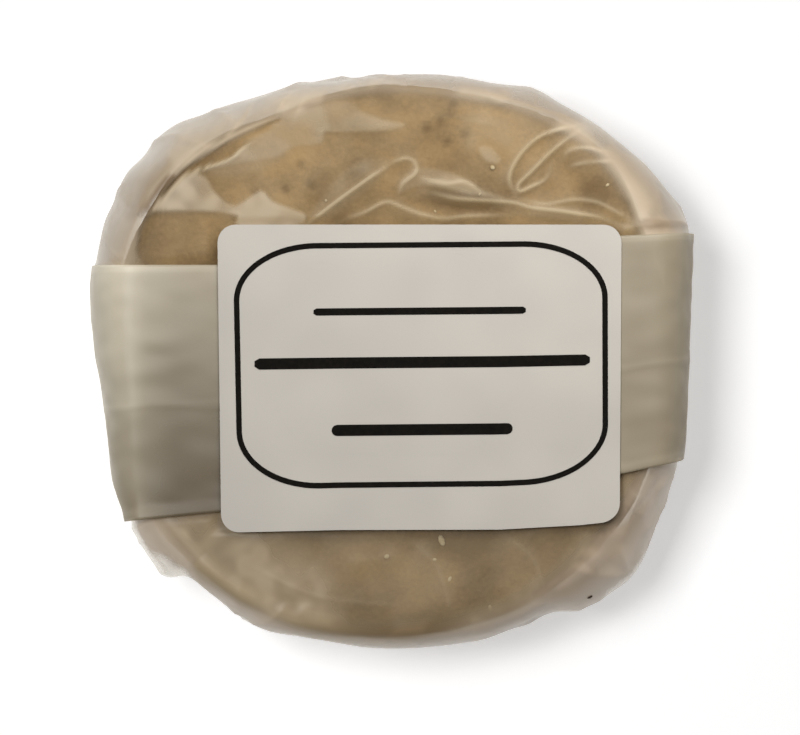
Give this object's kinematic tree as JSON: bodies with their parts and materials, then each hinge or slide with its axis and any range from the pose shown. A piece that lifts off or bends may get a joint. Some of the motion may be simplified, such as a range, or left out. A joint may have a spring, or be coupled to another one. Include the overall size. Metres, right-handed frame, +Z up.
{
  "type": "film-wrapped alfajor biscuit",
  "caption": "Round sandwich biscuit in crinkled clear film, its folded ends brought over the top as a milky band and held by a plain paper label.",
  "frame": {"origin": "under the middle of the pack's box, on the surface that it stands on", "axes": "+Z up out of the label's face, +X along the band to the reader's right, +Y towards the label's top edge"},
  "size_m": [0.0777, 0.0732, 0.025],
  "materials": {
    "film": "clear crinkled wrapping film over a pale biscuit",
    "band": "several milky layers of the same film, satin",
    "label": "smooth uncoated label paper",
    "ink": "black thermal print",
    "biscuit": "dry baked maize starch biscuit, matt and finely pitted",
    "filling": "soft milk caramel, satin"
  },
  "bodies": {
    "root": {"wrapped_biscuit": "film", "film_band": "band", "label": "label"}
  },
  "joints": []
}
